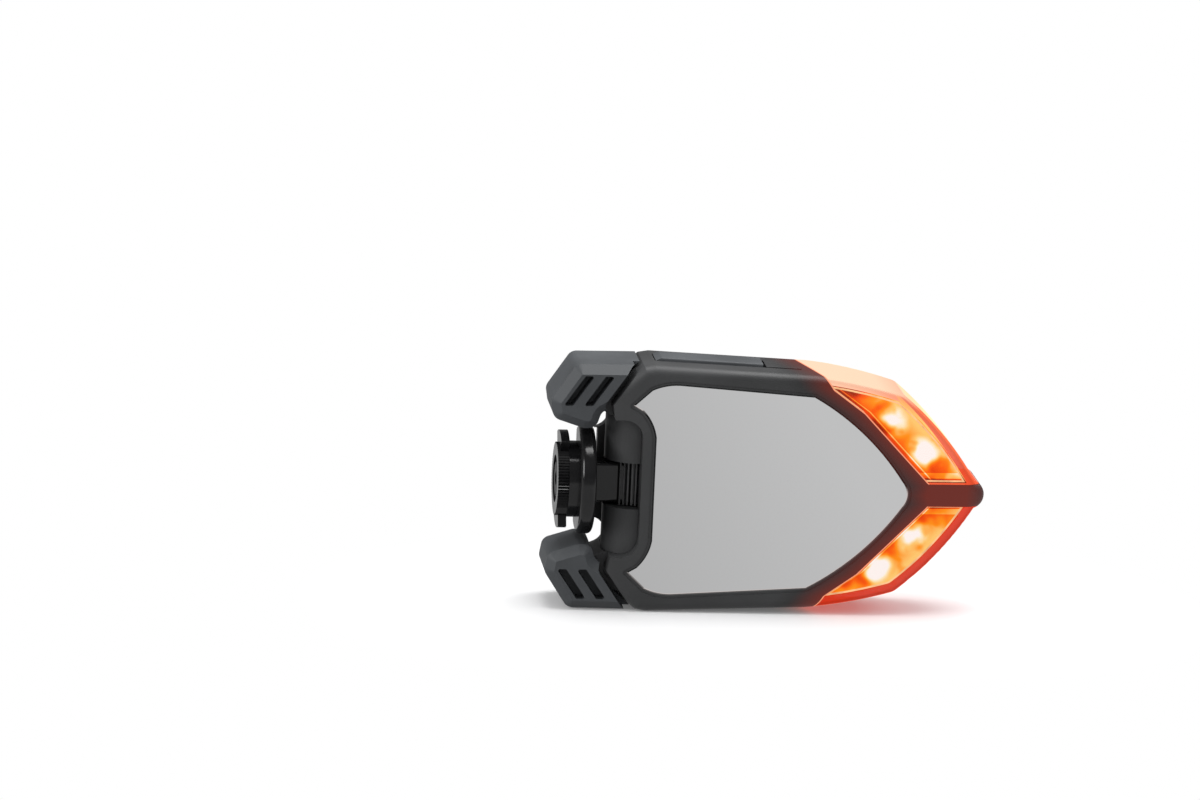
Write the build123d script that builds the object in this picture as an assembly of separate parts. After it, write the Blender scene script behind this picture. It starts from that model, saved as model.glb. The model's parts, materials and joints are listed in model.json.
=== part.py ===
from build123d import *
from functools import cache
from math import cos, hypot, pi, radians, sin, tan
import os

# A bar-end mirror with turn indicators. While it is built, x runs from the ends of the two
# horns (0) to the tip, y from the glass side (minus) to the rear cover (plus), and z from the
# mid-line to the side that carries the push bar. All sizes are in millimetres.

# Whole casing
length = 118.5
width = 67.5
depth = 24.0
seam_from_front = 7.0
wall = 2.0
front_edge = 2.4
back_edge = 2.4
overrun = 20.0
root = 0.5

# Fits
fit_gap = 0.1
loose_gap = 0.3
pin_clearance = 0.05

half_width = width / 2
front_y = -depth / 2
back_y = depth / 2
seam_y = front_y + seam_from_front

# Outline points as shares of the length and of the half width
lobe_share = (0.1165, 0.699)
horn_corner_share = (0.211, 0.986)
crest_share = (0.235, 1.0)
side_end_share = (0.600, 0.948)
shoulder_mid_share = (0.705, 0.893)
shoulder_share = (0.803, 0.806)
tip_mid_share = (0.885, 0.540)
tip_corner_share = (0.978, 0.110)
nose_mid_share = (0.994, 0.067)
shoulder_radius = 5.0
back_slope_start_share = 0.64
back_tip_share = 0.62
front_slope_start_share = 0.86
front_tip_share = 0.86

# Lens boundary at the front as shares of the length and of the half width, and how much
# nearer to the horns the boundary lies at the back
lens_front_shares = [(0.592, 1.100), (0.640, 0.840), (0.713, 0.655), (0.792, 0.367), (0.872, 0.075)]
lens_back_shift = 6.2
spine_width = 6.0
bulkhead = 1.6
lens_wall = 2.2
diffuser_wall = 1.2

# Mirror glass and its pocket
arch_shares = [(0.240, 0.0), (0.240, 0.420), (0.231, 0.523), (0.209, 0.632)]
ear_shares = [(0.187, 0.678), (0.228, 0.812), (0.255, 0.846), (0.300, 0.857)]
point_shares = [(0.600, 0.787), (0.716, 0.498), (0.812, 0.110), (0.824, 0.0)]
glass_thickness = 2.0
glass_recess = 0.7
pad_thickness = 0.6
pocket_wall = 1.5
glass_fit = 0.15
window_bevel = 0.3
window_step = 0.8
window_step_depth = 0.35
floor_y = front_y + glass_recess + glass_thickness + pad_thickness
cavity_front_y = floor_y + pocket_wall

# Knuckle bay between the ears
bay_half_width = 18.9
bay_top_from_ends = 25.2
bay_radius = 5.0
skirt_thickness = 3.4
skirt_half_width = 12.4
skirt_from_ends = 15.0
notch_radius = 3.8
notch_middle = 16.2
notch_top_from_ends = 17.8
ear_tip = (17.6, 19.4)
ear_shoulder = (16.9, 22.6)
ear_lean = 55.5
bay_back_y = back_y - skirt_thickness

# Folding mount
hinge_from_ends = 24.5
barrel_radius = 4.6
barrel_length = 12.2
barrel_rib_count = 18
barrel_rib_height = 0.5
hinge_pin_radius = 1.5
hinge_pin_length = 27.0
neck_width = 11.0
neck_thickness = 7.6
neck_edge = 1.0
flange_radius = 14.7
flange_back_from_ends = 13.1
flange_thickness = 4.2
flange_edge = 1.3
flange_flat = 6.2
hub_radius = 10.3
hub_front_from_ends = 6.1
cap_thickness = 3.0
cap_radius = 9.9
cap_teeth = 72
cap_tooth_depth = 0.45
cap_recess_radius = 6.4
cap_recess_depth = 0.7
cap_screw_radius = 4.5
cap_screw_proud = 0.5
cap_screw_flats = 2.0
wing_radius = 13.2
wing_half_angle = 28.0
socket_radius = 2.5
socket_depth = 7.0
cheek_radius = 8.4
cheek_gap = 0.2
cheek_rounding = 5.0
frame_web = 3.4
frame_half_depth = 7.8
frame_screw_y = 4.8
frame_screw_z = 11.4
frame_screw_length = 8.6

# Horns
horn_gap = 2.0
horn_depth = 22.6
horn_edge = 2.4
horn_end_edge = 2.8
cover_gap = 0.8
horn_shares = [
    (0.003, 0.700), (0.010, 0.550), (0.080, 0.471), (0.107, 0.478), (0.118, 0.600),
    (0.300, 0.990), (0.205, 0.995), (0.058, 0.990),
]
slot_start = 3.5
slot_width = 2.6
slot_depth = 5.0
slot_pitch = 5.4
slot_low = 22.4
slot_high = 30.6
slot_corner = 0.5
slot_count = 2
tongue_depth = 8.0
tongue_shares = [(0.075, 0.600), (0.085, 0.820), (0.235, 0.925), (0.250, 0.800), (0.160, 0.600)]

# Housing screws
screw_places_shares = [(0.764, 0.0), (0.560, 0.628), (0.560, -0.628), (0.169, 0.685), (0.169, -0.685)]
screw_head_radius = 2.1
screw_head_height = 1.8
screw_recess_radius = 2.65
screw_recess_depth = 3.4
screw_radius = 1.1
screw_length = 11.0
socket_flats = 2.0
socket_sink = 1.1
boss_radius = 3.3
boss_meeting_y = 2.0

# Charging port and its flap
flap_width = 24.0
flap_height = 14.3
flap_from_ends = 69.2
flap_thickness = 1.9
flap_corner = 2.0
flap_gap = 0.3
tab_root_width = 12.4
tab_end_width = 7.6
tab_end_from_ends = 87.6
well_width = 13.0
well_height = 8.2
well_corner = 2.0
well_wall = 1.2
well_floor_y = 4.6
pry_width = 9.2
pry_height = 2.3
pry_depth = 1.2

# Push bar on the long side
bar_start = 28.6
bar_end = 57.6
bar_width = 9.0
bar_proud = 0.9
bar_sunk = 1.7
bar_underside_gap = 1.1
bar_bevel = 1.6
bar_edge = 0.5
bar_end_gap = 0.9
bar_floor = 1.2
bar_pin_radius = 0.6
bar_pin_length = 11.4
bar_pin_inset = 1.5
plunger_radius = 1.3
plunger_from_ends = 52.6
plunger_travel = 0.75
strip_end = 68.0
strip_proud = 0.2
strip_sunk = 1.2
membrane_radius = 3.0
membrane_thickness = 0.5

# Electronics
board_front_y = -3.4
board_thickness = 1.2
board_from_ends = 38.0
board_margin = 1.0
switch_side = 6.0
switch_body = 3.4
stem_radius = 1.3
stem_length = 0.8
cell_length = 27.0
cell_width = 32.0
cell_thickness = 5.6
cell_from_ends = 39.5
cell_pad = 0.6
cell_edge = 1.8
port_body_width = 9.0
port_body_height = 3.3
port_proud = 0.3
port_wall = 0.35
port_mouth_depth = 4.5
lamp_board_thickness = 1.2
lamp_size = 3.4
lamp_height = 1.3
lamp_corner = 0.6
lamp_dome_radius = 1.2
lamp_turn = 45.0
lamp_places_shares = [(0.777, 0.592), (0.856, 0.325)]

board_back_y = board_front_y + board_thickness
bar_middle_y = board_back_y + switch_side / 2


def place(shares):
    return shares[0] * length, shares[1] * half_width


def outline(points):
    return make_face(Polyline([*points, points[0]]))


def mirrored(shape):
    return mirror(shape, about=Plane.XY)


def slab(face, from_y, to_y):
    return Pos(0, to_y, 0) * extrude(Plane.XZ * face, amount=to_y - from_y)


def post(x, z, radius, from_y, to_y):
    return Pos(x, (from_y + to_y) / 2, z) * Rot(90, 0, 0) * Cylinder(radius, to_y - from_y)


def block(x_range, y_range, z_range):
    sizes = [high - low for low, high in (x_range, y_range, z_range)]
    middles = [(high + low) / 2 for low, high in (x_range, y_range, z_range)]
    return Pos(*middles) * Box(*sizes)


def depth_band(from_y, to_y):
    return block((-overrun, length + overrun), (from_y, to_y), (-width, width))


def side_height(x):
    # the straight long side falls slightly from its crest towards the lens
    crest_x, crest_z = place(crest_share)
    end_x, end_z = place(side_end_share)
    return crest_z + (x - crest_x) * (end_z - crest_z) / (end_x - crest_x)


@cache
def casing_face():
    corner = place(lobe_share)
    horn_corner = place(horn_corner_share)
    crest = place(crest_share)
    side_end = place(side_end_share)
    shoulder = place(shoulder_share)
    tip_corner = place(tip_corner_share)
    edges = [
        Line((corner[0], 0), corner),
        Line(corner, horn_corner),
        Line(horn_corner, crest),
        Line(crest, side_end),
        ThreePointArc(side_end, place(shoulder_mid_share), shoulder),
        ThreePointArc(shoulder, place(tip_mid_share), tip_corner),
        ThreePointArc(tip_corner, place(nose_mid_share), (length, 0)),
        Line((length, 0), (corner[0], 0)),
    ]
    half = make_face(edges)
    sharp = [v for v in half.vertices() if hypot(v.X - shoulder[0], v.Y - shoulder[1]) < front_edge]
    half = fillet(sharp, radius=shoulder_radius)
    return half + mirror(half, about=Plane.XZ)


def side_profile(inset):
    low = place(lobe_share)[0]
    points = [
        (low - overrun, front_y + inset),
        (front_slope_start_share * length, front_y + inset),
        (length + overrun, front_y * front_tip_share + inset),
        (length + overrun, back_y * back_tip_share - inset),
        (back_slope_start_share * length, back_y - inset),
        (low - overrun, back_y - inset),
    ]
    face = outline(points)
    return Pos(0, 0, -width) * extrude(face, amount=2 * width)


@cache
def casing_block(inset):
    face = casing_face()
    if inset > 0:
        face = offset(face, amount=-inset, kind=Kind.INTERSECTION)
    body = slab(face, front_y - overrun, back_y + overrun) & side_profile(inset)
    if inset > 0:
        return body
    creases = [back_slope_start_share * length, front_slope_start_share * length]
    rims = [e for e in body.edges() if min(abs(e.center().X - x) for x in creases) > fit_gap]
    body = fillet([e for e in rims if e.center().Y > back_y * back_tip_share], radius=back_edge)
    creases.append(length)
    rims = [e for e in body.edges() if min(abs(e.center().X - x) for x in creases) > fit_gap]
    return fillet([e for e in rims if e.center().Y < front_y * front_tip_share], radius=front_edge)


def boundary_loft(section):
    # a wall through the casing whose back edge lies nearer to the horns than its front edge
    per_depth = lens_back_shift / depth
    faces = []
    for y in (front_y - wall, back_y + wall):
        faces.append(Pos(0, y, 0) * (Plane.XZ * outline(section((y - front_y) * per_depth))))
    return loft(faces, ruled=True)


def boundary_points(shift, low):
    points = [place(share) for share in lens_front_shares]
    points[-1] = (points[-1][0] + points[-1][1] - low, low)
    return [(x - shift, z) for x, z in points]


@cache
def lens_zone(shift, low):
    # everything from the lens boundary to past the tip, on the plus z side, above "low"
    far = length + overrun
    top = half_width + overrun

    def section(back_by):
        points = boundary_points(shift + back_by, low)
        return [*points, (far, low), (far, top), (points[0][0], top)]

    return boundary_loft(section)


@cache
def body_zone(shift, low):
    # the rest of the casing: what the two lens zones leave, with the spine between them
    far = length + overrun
    top = half_width + overrun

    def section(back_by):
        points = boundary_points(shift + back_by, low)
        upper = [(-overrun, top), (points[0][0], top), *points]
        if low > 0:
            upper.append((far, low))
        lower = [(x, -z) for x, z in reversed(upper)]
        return upper + lower if low > 0 else upper + lower[1:]

    return boundary_loft(section)


def glass_outline(margin):
    # two pointed ears, an arch between them, straight long sides and a rounded far end
    arch = [place(share) for share in arch_shares]
    ear = [place(share) for share in ear_shares]
    point = [place(share) for share in point_shares]
    edges = []
    for sign in (1, -1):
        def p(spot):
            return spot[0], sign * spot[1]
        edges += [
            Line(p(arch[0]), p(arch[1])),
            ThreePointArc(p(arch[1]), p(arch[2]), p(arch[3])),
            Line(p(arch[3]), p(ear[0])),
            Line(p(ear[0]), p(ear[1])),
            ThreePointArc(p(ear[1]), p(ear[2]), p(ear[3])),
            Line(p(ear[3]), p(point[0])),
            ThreePointArc(p(point[0]), p(point[1]), p(point[2])),
        ]
    far = point[2]
    edges.append(ThreePointArc(far, point[3], (far[0], -far[1])))
    face = make_face(edges)
    if margin:
        face = offset(face, amount=margin, kind=Kind.ARC)
    return face


@cache
def bay(inset):
    # the open space around the knuckle; "inset" makes it larger for the walls about it
    top = bay_top_from_ends + inset
    side = bay_half_width + inset
    face = Rectangle(2 * top, 2 * side)
    tops = [v for v in face.vertices() if v.X > 0]
    face = fillet(tops, radius=bay_radius + inset)
    return slab(face, front_y - overrun, bay_back_y + inset)


def ear_cut_face(shift):
    # what the bezel leaves free for the horns, beyond a line along each blunt ear
    far = half_width + overrun
    rise = far - ear_shoulder[1]
    tip = (ear_tip[0] + shift, ear_tip[1])
    shoulder = (ear_shoulder[0] + shift, ear_shoulder[1])
    end = (shoulder[0] + rise / tan(radians(ear_lean)), far)
    upper = outline([(-overrun, 0), (tip[0], 0), tip, shoulder, end, (-overrun, far)])
    return upper + mirror(upper, about=Plane.XZ)


def cover_cut_face():
    # skirt between two rounded notches, with a lobe outside each notch
    cut = Pos(skirt_from_ends / 2, 0) * Rectangle(skirt_from_ends, 2 * skirt_half_width)
    centre = notch_top_from_ends - notch_radius
    for sign in (1, -1):
        cut += Pos(centre, sign * notch_middle) * Circle(notch_radius)
        cut += Pos(centre / 2, sign * notch_middle) * Rectangle(centre, 2 * notch_radius)
    return cut


def barrel_room(gap):
    radius = barrel_radius + barrel_rib_height + gap
    return Pos(hinge_from_ends, 0, 0) * Cylinder(radius, barrel_length + 2 * gap)


def hinge_room():
    # what both halves leave free for the ribbed barrel and for the pin beside it
    pin = Cylinder(hinge_pin_radius + loose_gap, hinge_pin_length + 2 * loose_gap)
    return barrel_room(loose_gap) + Pos(hinge_from_ends, 0, 0) * pin


def screw_spots():
    return [place(share) for share in screw_places_shares]


def hex_socket(x, z, mouth_y):
    hexagon = Plane.XZ * (Pos(x, z) * RegularPolygon(socket_flats / 2, 6, major_radius=False))
    return Pos(0, mouth_y, 0) * extrude(hexagon, amount=socket_sink)


@cache
def cavity():
    space = casing_block(wall) & body_zone(bulkhead, 0)
    space -= bay(wall)
    space -= slab(ear_cut_face(wall), front_y - overrun, seam_y + wall)
    notch_reach = notch_middle + notch_radius + wall
    space -= block((0, notch_top_from_ends + wall), (front_y, back_y), (-notch_reach, notch_reach))
    space -= barrel_room(loose_gap + wall)
    return space & block((0, length), (cavity_front_y, back_y), (-width, width))


def bar_pocket():
    start = bar_start - loose_gap
    stop = bar_end + bar_end_gap
    depth_below = bar_sunk + bar_underside_gap
    points = [
        (start, side_height(start) - depth_below),
        (stop, side_height(stop) - depth_below),
        (stop, side_height(stop) + overrun),
        (start, side_height(start) + overrun),
    ]
    half = bar_width / 2 + fit_gap
    return slab(outline(points), bar_middle_y - half, bar_middle_y + half)


def bar_pocket_walls():
    start = bar_start - loose_gap - wall
    stop = bar_end + bar_end_gap + wall / 2
    low = bar_sunk + bar_underside_gap + bar_floor
    points = [
        (start, side_height(start) - low),
        (stop, side_height(stop) - low),
        (stop, side_height(stop) - front_edge / 2),
        (start, side_height(start) - front_edge / 2),
    ]
    return slab(outline(points), seam_y, bar_middle_y + bar_width / 2 + wall)


def strip_shape(margin):
    start = bar_end + bar_end_gap
    stop = strip_end + margin
    points = [
        (start, side_height(start) - strip_sunk - margin / 2),
        (stop, side_height(stop) - strip_sunk - margin / 2),
        (stop, side_height(stop) + strip_proud),
        (start, side_height(start) + strip_proud),
    ]
    half = bar_width / 2 + margin
    return slab(outline(points), bar_middle_y - half, bar_middle_y + half)


def bar_pin_place():
    return bar_start + bar_pin_inset, side_height(bar_start) - bar_sunk + bar_pin_inset / 2


def plunger_top():
    return side_height(plunger_from_ends) - bar_sunk


def plunger_floor():
    return side_height(plunger_from_ends) - bar_sunk - bar_underside_gap - bar_floor


def flap_face(shrink):
    low = flap_from_ends + shrink
    high = flap_from_ends + flap_height - shrink
    face = Pos((low + high) / 2, 0) * Rectangle(high - low, flap_width - 2 * shrink)
    return fillet(face.vertices(), radius=flap_corner - shrink)


def tab_face(shrink):
    low = flap_from_ends + flap_height
    high = tab_end_from_ends - shrink
    wide = tab_root_width / 2 - shrink
    narrow = tab_end_width / 2 - shrink
    return outline([(low, -wide), (high, -narrow), (high, narrow), (low, wide)])


def well_middle():
    return flap_from_ends + flap_height / 2


def well_face(grow):
    face = Rectangle(well_height + 2 * grow, well_width + 2 * grow)
    return Pos(well_middle(), 0) * fillet(face.vertices(), radius=well_corner + grow)


def port_face(grow):
    face = Rectangle(port_body_height + 2 * grow, port_body_width + 2 * grow)
    return Pos(well_middle(), 0) * fillet(face.vertices(), radius=port_body_height / 2 + grow - fit_gap)


def tongue(grow):
    face = outline([place(share) for share in tongue_shares])
    if grow:
        face = offset(face, amount=grow, kind=Kind.INTERSECTION)
    return slab(face, -tongue_depth / 2 - grow, tongue_depth / 2 + grow)


def front_bezel():
    body = casing_block(0) & depth_band(front_y - overrun, seam_y)
    body = body & body_zone(0, spine_width / 2)
    body -= bay(0)
    body -= slab(ear_cut_face(0), front_y - overrun, seam_y + overrun)
    body -= cavity()
    body -= slab(glass_outline(0), front_y - overrun, floor_y)
    body -= slab(glass_outline(window_step), front_y - overrun, front_y + window_step_depth)
    for x, z in screw_spots():
        foot = post(x, z, boss_radius, cavity_front_y - root, seam_y)
        body += foot - slab(ear_cut_face(0), front_y, seam_y)
        body += post(x, z, boss_radius, seam_y, boss_meeting_y)
        body -= post(x, z, screw_radius, boss_meeting_y - screw_length / 2, boss_meeting_y)
    return body - hinge_room()


def mirror_glass():
    face = glass_outline(-glass_fit)
    back = floor_y - pad_thickness
    plate = slab(face, back - glass_thickness, back)
    rim = plate.faces().sort_by(Axis.Y)[0].edges()
    return chamfer(rim, length=window_bevel)


def glass_pad():
    return slab(glass_outline(-wall), floor_y - pad_thickness, floor_y)


def rear_cover():
    body = casing_block(0) & depth_band(seam_y, back_y + overrun)
    body = body & body_zone(0, spine_width / 2)
    body -= bay(0)
    body -= slab(cover_cut_face(), seam_y - overrun, back_y + overrun)
    body -= cavity()
    body += bar_pocket_walls() & casing_block(root)
    well = slab(well_face(well_wall), well_floor_y - well_wall, back_y - root)
    body += well
    body += tongue(0) + mirrored(tongue(0))
    for x, z in screw_spots():
        body += post(x, z, boss_radius, boss_meeting_y, back_y - root)
    for x, z in screw_spots():
        body -= post(x, z, screw_recess_radius, back_y - screw_recess_depth, back_y + overrun)
        body -= post(x, z, screw_radius + loose_gap, seam_y, back_y)
        body -= post(x, z, boss_radius + fit_gap, seam_y, boss_meeting_y)
    body -= slab(flap_face(0) + tab_face(0), back_y - flap_thickness - fit_gap, back_y + overrun)
    body -= slab(well_face(0), well_floor_y, back_y)
    body -= slab(port_face(fit_gap), seam_y, back_y)
    pry = Pos(flap_from_ends - pry_height / 2, 0) * Rectangle(pry_height, pry_width)
    body -= slab(pry, back_y - pry_depth, back_y + overrun)
    body -= bar_pocket()
    body -= strip_shape(fit_gap)
    body -= bar_pin()
    low = plunger_floor() - wall
    hole = Pos(plunger_from_ends, bar_middle_y, (low + half_width) / 2)
    body -= hole * Cylinder(plunger_radius + loose_gap, half_width - low)
    body -= hinge_room()
    for screw in frame_screw_list():
        body -= screw
    return body


def lens():
    shell = casing_block(0) - casing_block(lens_wall)
    return shell & lens_zone(-fit_gap, spine_width / 2 + fit_gap)


def diffuser():
    outer = casing_block(lens_wall + loose_gap)
    inner = casing_block(lens_wall + loose_gap + diffuser_wall)
    zone = lens_zone(-loose_gap, spine_width / 2 + loose_gap)
    return (outer - inner) & zone


def lamp_board():
    face_block = casing_block(lens_wall + 2 * loose_gap + diffuser_wall)
    zone = lens_zone(-loose_gap, spine_width / 2 + loose_gap)
    board = face_block & zone
    half = lamp_board_thickness / 2
    return board & block((0, length), (-half, half), (-width, width))


def lamps(sign):
    group = []
    for x, z in [place(share) for share in lamp_places_shares]:
        for side in (1, -1):
            chip = Box(lamp_size, lamp_height, lamp_size)
            chip = fillet(chip.edges().filter_by(Axis.Y), radius=lamp_corner)
            dome = Sphere(lamp_dome_radius)
            dome &= Pos(0, sign * overrun / 2, 0) * Box(overrun, overrun, overrun)
            chip += Pos(0, sign * lamp_height / 2, 0) * dome
            y = sign * (lamp_board_thickness / 2 + lamp_height / 2)
            group.append(Pos(x, y, side * z) * Rot(0, lamp_turn * side, 0) * chip)
    return Compound(children=[Part() + one for one in group])


def switch_top():
    return plunger_floor() - fit_gap - membrane_thickness - stem_length


def main_board():
    reach = switch_top() - board_margin / 2
    back_by = (board_back_y - front_y) * lens_back_shift / depth + 2 * (bulkhead + board_margin)
    points = boundary_points(back_by, 0)
    inside = [(x, z) for x, z in points if z < reach]
    before, after = points[1], points[2]
    share = (before[1] - reach) / (before[1] - after[1])
    corner = (before[0] + share * (after[0] - before[0]), reach)
    half = outline([(board_from_ends, 0), (board_from_ends, reach), corner, *inside])
    board = slab(half + mirror(half, about=Plane.XZ), board_front_y, board_back_y)
    for x, z in screw_spots():
        board -= post(x, z, boss_radius + board_margin / 2, front_y, back_y)
    return board


def touch_switch():
    top = switch_top()
    middle_y = board_back_y + switch_side / 2
    middle_x = plunger_from_ends
    half = switch_side / 2
    body = block(
        (middle_x - half, middle_x + half),
        (board_back_y, board_back_y + switch_side),
        (top - switch_body, top),
    )
    stem = Pos(middle_x, middle_y, top + stem_length / 2) * Cylinder(stem_radius, stem_length)
    return body + stem


def membrane():
    middle = plunger_floor() - fit_gap - membrane_thickness / 2
    return Pos(plunger_from_ends, bar_middle_y, middle) * Cylinder(membrane_radius, membrane_thickness)


def cell():
    low_y = board_back_y + cell_pad
    body = block(
        (cell_from_ends, cell_from_ends + cell_length),
        (low_y, low_y + cell_thickness),
        (-cell_width / 2, cell_width / 2),
    )
    return fillet(body.edges().filter_by(Axis.X), radius=cell_edge)


def cell_foam():
    return block(
        (cell_from_ends + cell_pad, cell_from_ends + cell_length - cell_pad),
        (board_back_y, board_back_y + cell_pad),
        (-cell_width / 2 + wall, cell_width / 2 - wall),
    )


def charge_socket():
    top = well_floor_y + port_proud
    body = slab(port_face(0), board_back_y, top)
    mouth = slab(port_face(-port_wall), top - port_mouth_depth, top)
    tongue_plate = block(
        (well_middle() - port_wall, well_middle() + port_wall),
        (top - port_mouth_depth, top - port_wall),
        (-port_body_width / 3, port_body_width / 3),
    )
    return body - mouth + tongue_plate


def port_flap():
    low = flap_face(flap_gap)
    body = slab(low, back_y - flap_thickness, back_y)
    lip_width = pry_width - 2 * flap_gap
    lip = Pos(flap_from_ends - pry_height / 4 + flap_gap, 0) * Rectangle(pry_height / 2, lip_width)
    lip_body = slab(lip, back_y - pry_depth / 2, back_y)
    return body + lip_body


def flap_anchor():
    beyond_flap = Pos(length / 2 + flap_from_ends + flap_height, 0) * Rectangle(length, width)
    return slab(tab_face(flap_gap) & beyond_flap, back_y - flap_thickness, back_y)


def push_bar():
    end_height = side_height(bar_end)
    start_height = side_height(bar_start)
    points = [
        (bar_start, start_height - bar_sunk),
        (bar_start, start_height),
        (bar_start + bar_bevel, side_height(bar_start + bar_bevel) + bar_proud),
        (bar_end, end_height + bar_proud),
        (bar_end, end_height - bar_sunk),
    ]
    body = slab(outline(points), bar_middle_y - bar_width / 2, bar_middle_y + bar_width / 2)
    long_edges = body.edges().filter_by(lambda e: e.center().Z > end_height and e.length > bar_width * 2)
    body = fillet(long_edges, radius=bar_edge)
    plunger_low = plunger_floor() + plunger_travel
    height = plunger_top() - plunger_low
    plunger = Cylinder(plunger_radius, height + fit_gap)
    body += Pos(plunger_from_ends, bar_middle_y, plunger_low + (height + fit_gap) / 2) * plunger
    pin_x, pin_z = bar_pin_place()
    return body - post(pin_x, pin_z, bar_pin_radius + pin_clearance, -bar_width, bar_width)


def bar_pin():
    pin_x, pin_z = bar_pin_place()
    half = bar_pin_length / 2
    return post(pin_x, pin_z, bar_pin_radius, bar_middle_y - half, bar_middle_y + half)


def horn_face():
    points = [place(share) for share in horn_shares]
    face = outline(points)
    return fillet(face.vertices(), radius=horn_end_edge)


def slot_face(index):
    lean = (slot_high - slot_low) / tan(radians(ear_lean))
    low = slot_start + index * slot_pitch
    face = outline([
        (low, slot_low), (low + slot_width, slot_low),
        (low + slot_width + lean, slot_high), (low + lean, slot_high),
    ])
    return fillet(face.vertices(), radius=slot_corner)


def horn():
    half = horn_depth / 2
    body = slab(horn_face(), -half, half)
    rims = body.faces().filter_by(Axis.Y)
    body = chamfer([edge for rim in rims for edge in rim.edges()], length=horn_edge)
    ear = slab(ear_cut_face(-horn_gap), -depth, seam_y)
    body = (body & ear) + (body & block((-overrun, length), (seam_y, depth), (0, width)))
    rear = casing_face() - cover_cut_face()
    body -= slab(offset(rear, amount=cover_gap), seam_y - cover_gap, depth)
    front = casing_face() - ear_cut_face(0)
    body -= slab(offset(front, amount=horn_gap), -depth, seam_y + cover_gap)
    body -= tongue(fit_gap)
    for index in range(slot_count):
        for low, high in ((-depth, -half + slot_depth), (half - slot_depth, depth)):
            body -= slab(slot_face(index), low, high)
    return Part() + body.solids().sort_by(SortBy.VOLUME)[-1]


def knuckle_frame():
    # two domed cheeks with the barrel between them, joined by a web behind the barrel
    side = bay_half_width - fit_gap
    inner = barrel_length / 2 + cheek_gap
    reach = bay_top_from_ends - fit_gap - hinge_from_ends
    profile = Circle(cheek_radius) + Pos(reach / 2, 0) * Rectangle(reach, 2 * cheek_radius)
    cheek = Pos(hinge_from_ends, 0, inner) * extrude(profile, amount=side - inner)
    rounded = cheek.edges().filter_by(GeomType.CIRCLE).sort_by(Axis.Z)[-1]
    cheek = fillet(rounded, radius=cheek_rounding)
    web_x = (bay_top_from_ends - frame_web, bay_top_from_ends - fit_gap)
    web = block(web_x, (-frame_half_depth, frame_half_depth), (-side, side))
    web -= block(web_x, (-frame_half_depth, 0), (-inner, inner))
    body = (cheek + mirrored(cheek) + web) & bay(-fit_gap)
    body -= Pos(hinge_from_ends, 0, 0) * Cylinder(barrel_radius + barrel_rib_height + loose_gap, 2 * inner)
    body -= hinge_pin()
    for screw in frame_screw_list():
        body -= screw
    return body


def frame_screw_list():
    group = []
    seat = bay_top_from_ends + wall
    for side in (1, -1):
        spot = Pos(0, frame_screw_y, side * frame_screw_z)
        head = spot * across_axis(Circle(screw_head_radius), seat, seat + screw_head_height)
        shank = spot * across_axis(Circle(screw_radius), seat - frame_screw_length, seat)
        group.append(head + shank)
    return group


def hinge_pin():
    return Pos(hinge_from_ends, 0, 0) * Cylinder(hinge_pin_radius, hinge_pin_length)


def mount_arm():
    barrel = Circle(barrel_radius)
    step = 2 * pi * barrel_radius / barrel_rib_count
    for index in range(barrel_rib_count):
        angle = 360 / barrel_rib_count * index
        rib = Pos(barrel_radius, 0) * Rectangle(2 * barrel_rib_height, step / 2)
        barrel += Rot(0, 0, angle) * rib
    barrel_body = Pos(hinge_from_ends, 0, -barrel_length / 2) * extrude(barrel, amount=barrel_length)
    neck = block(
        (flange_back_from_ends - fit_gap, hinge_from_ends),
        (-neck_thickness / 2, neck_thickness / 2),
        (-neck_width / 2, neck_width / 2),
    )
    neck = fillet(neck.edges().filter_by(Axis.X), radius=neck_edge)
    flange_front = flange_back_from_ends - flange_thickness
    flange = across_axis(Circle(flange_radius), flange_front, flange_back_from_ends)
    flange -= block((0, length), (flange_flat, depth), (-width, width))
    flange = fillet(flange.edges(), radius=flange_edge)
    hub = across_axis(Circle(hub_radius), hub_front_from_ends, flange_front)
    body = flange + hub + neck + barrel_body
    body -= Pos(hinge_from_ends, 0, 0) * Cylinder(hinge_pin_radius + pin_clearance, barrel_length * 2)
    return body - across_axis(Circle(socket_radius), hub_front_from_ends, hub_front_from_ends + socket_depth)


def across_axis(face, from_x, to_x):
    # a section that faces along x, with its own first axis along z
    turned = Rot(0, 90, 0) * extrude(face, amount=to_x - from_x)
    return Pos(from_x, 0, 0) * turned


def bayonet_cap():
    front = hub_front_from_ends - cap_thickness
    points = []
    for index in range(cap_teeth):
        for step, radius in ((0, cap_radius), (0.5, cap_radius - cap_tooth_depth)):
            angle = 2 * pi * (index + step) / cap_teeth
            points.append((radius * cos(angle), radius * sin(angle)))
    disc = across_axis(outline(points), front, hub_front_from_ends)
    reach = wing_radius * 2
    half = radians(wing_half_angle)
    wedge = outline([(0, 0), (reach * cos(half), reach * sin(half)), (reach * cos(half), -reach * sin(half))])
    wings = (wedge + mirror(wedge, about=Plane.YZ)) & Circle(wing_radius)
    wing_body = across_axis(wings - Circle(cap_radius - wall), front + cap_recess_depth, hub_front_from_ends)
    recess = across_axis(Circle(cap_recess_radius), front, front + cap_recess_depth)
    bore = across_axis(Circle(socket_radius + fit_gap), front, hub_front_from_ends)
    return disc + wing_body - recess - bore


def bayonet_screw():
    front = hub_front_from_ends - cap_thickness + cap_recess_depth
    head = across_axis(Circle(cap_screw_radius), front - cap_screw_proud, front)
    shank = across_axis(Circle(socket_radius), front, hub_front_from_ends + socket_depth - wall)
    drive = across_axis(RegularPolygon(cap_screw_flats, 6), front - cap_recess_depth, front + wall)
    return head + shank - drive


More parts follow.
